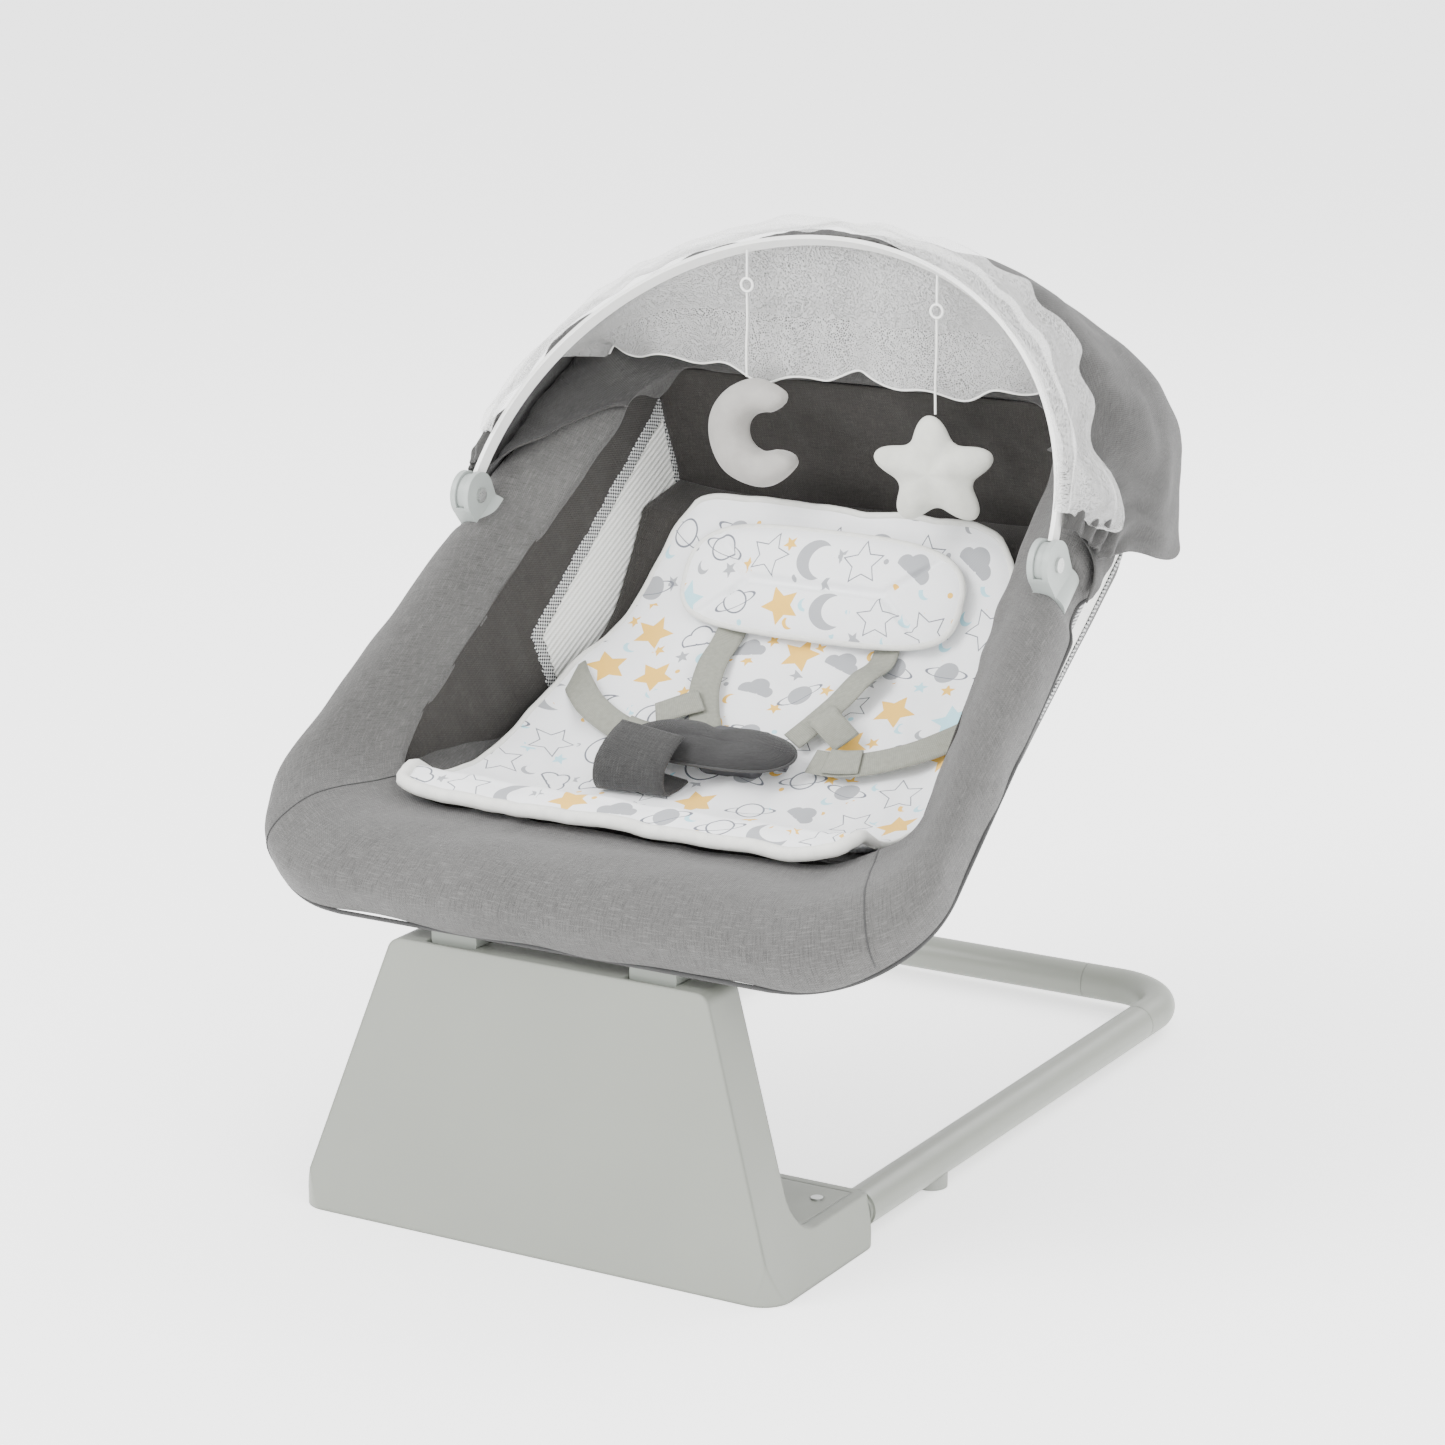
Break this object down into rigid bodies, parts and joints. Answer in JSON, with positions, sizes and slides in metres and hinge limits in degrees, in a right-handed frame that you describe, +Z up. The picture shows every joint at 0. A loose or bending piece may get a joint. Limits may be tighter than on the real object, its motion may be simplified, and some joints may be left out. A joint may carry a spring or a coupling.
{
  "type": "baby bouncer seat",
  "caption": "Baby bouncer seat: padded sling seat on a sprung pedestal with a tube floor frame, harness, folding canopy hoop and hanging toys.",
  "frame": {"origin": "on the floor, under the front face of the pedestal, on the seat's middle plane", "axes": "+Z up, +Y from the pedestal towards the head end, +X across the seat"},
  "size_m": [0.4938, 0.648, 0.6005],
  "materials": {
    "sage_plastic": "moulded sage grey plastic, fine satin grain",
    "sage_tube": "powder coated sage grey",
    "foot_rubber": "soft grey rubber",
    "screw_steel": "zinc plated",
    "rim_steel": "powder coated",
    "pivot_plastic": "moulded satin",
    "grey_melange": "slubbed grey melange canvas",
    "hood_fabric": "slubbed grey melange canvas, single layer",
    "tub_fabric": "dark grey melange lining",
    "window_mesh": "white air mesh",
    "printed_cotton": null,
    "webbing": "woven sage grey webbing",
    "crotch_fabric": "dark grey melange",
    "cover_fabric": "dark grey melange",
    "buckle_plastic": "moulded dark grey",
    "clip_plastic": "moulded light grey",
    "hoop_plastic": "moulded white",
    "net_tulle": "sheer white tulle",
    "grey_plush": "short pile plush",
    "cream_plush": "short pile plush",
    "toy_string": "white cord",
    "ring_plastic": "white"
  },
  "bodies": {
    "base": {"pedestal_shell": "sage_plastic", "pedestal_back_cover": "sage_plastic", "pedestal_floor_cover": "sage_plastic", "base_screws": "screw_steel", "side_tube_left": "sage_tube", "side_tube_right": "sage_tube", "corner_connector_left": "sage_plastic", "corner_connector_right": "sage_plastic", "rear_tube": "sage_tube", "tube_feet": "foot_rubber", "bearing_blocks": "pivot_plastic"},
    "seat": {"bounce_springs": "screw_steel", "buckle_body": "buckle_plastic", "buckle_cover_pad": "cover_fabric", "buckle_tongue_left": "buckle_plastic", "buckle_tongue_right": "buckle_plastic", "clip_screws": "screw_steel", "crotch_strap": "crotch_fabric", "head_pillow": "printed_cotton", "head_wall": "tub_fabric", "hood": "hood_fabric", "liner_pad": "printed_cotton", "mesh_window_left": "window_mesh", "mesh_window_right": "window_mesh", "pivot_axle": "screw_steel", "rail_clip_left": "clip_plastic", "rail_clip_right": "clip_plastic", "rim_pad_front": "grey_melange", "rim_pad_head": "grey_melange", "rim_pad_left": "grey_melange", "rim_pad_right": "grey_melange", "rim_tube_front": "rim_steel", "rim_tube_head": "rim_steel", "rim_tube_left": "rim_steel", "rim_tube_right": "rim_steel", "seat_sling": "tub_fabric", "seat_stalk_left": "pivot_plastic", "seat_stalk_right": "pivot_plastic", "shoulder_strap_left": "webbing", "shoulder_strap_right": "webbing", "side_strap_left": "webbing", "side_strap_right": "webbing", "side_wall_left": "tub_fabric", "side_wall_right": "tub_fabric", "waist_strap_left": "webbing", "waist_strap_right": "webbing"},
    "button": {"buckle_button": "buckle_plastic"},
    "canopy": {"hoop": "hoop_plastic", "hoop_hub_left": "clip_plastic", "hoop_hub_right": "clip_plastic", "net_valance": "net_tulle"},
    "moon_hanger": {"moon_ring": "ring_plastic", "moon_string": "toy_string"},
    "moon_toy": {"moon": "grey_plush"},
    "star_hanger": {"star_ring": "ring_plastic", "star_string": "toy_string"},
    "star_toy": {"star": "cream_plush"}
  },
  "joints": [
    {"name": "seat_bounce", "type": "hinge", "parent": "base", "child": "seat", "pos_m": [0, 0.03664, 0.166], "axis": [1, 0, 0], "range_deg": [-6, 4], "stiffness_Nm_per_rad": 220, "springref_deg": 1.54},
    {"name": "canopy_fold", "type": "hinge", "parent": "seat", "child": "canopy", "pos_m": [0, 0.275, 0.42], "axis": [1, 0, 0], "range_deg": [0, 50]},
    {"name": "buckle_press", "type": "slide", "parent": "seat", "child": "button", "axis": [0, 0.5519, -0.8339], "range_m": [0, 0.003], "stiffness_N_per_m": 600, "springref_m": -0.0005},
    {"name": "moon_swing", "type": "hinge", "parent": "canopy", "child": "moon_hanger", "pos_m": [-0.064, 0.38329, 0.58676], "axis": [1, 0, 0], "range_deg": [-50, 2]},
    {"name": "moon_sway", "type": "hinge", "parent": "moon_hanger", "child": "moon_toy", "pos_m": [-0.064, 0.38329, 0.4992], "axis": [0, 1, 0], "range_deg": [-12, 12]},
    {"name": "star_swing", "type": "hinge", "parent": "canopy", "child": "star_hanger", "pos_m": [0.084, 0.37954, 0.58097], "axis": [1, 0, 0], "range_deg": [-50, 2]},
    {"name": "star_sway", "type": "hinge", "parent": "star_hanger", "child": "star_toy", "pos_m": [0.084, 0.37954, 0.4872], "axis": [0, 1, 0], "range_deg": [-12, 12]}
  ]
}
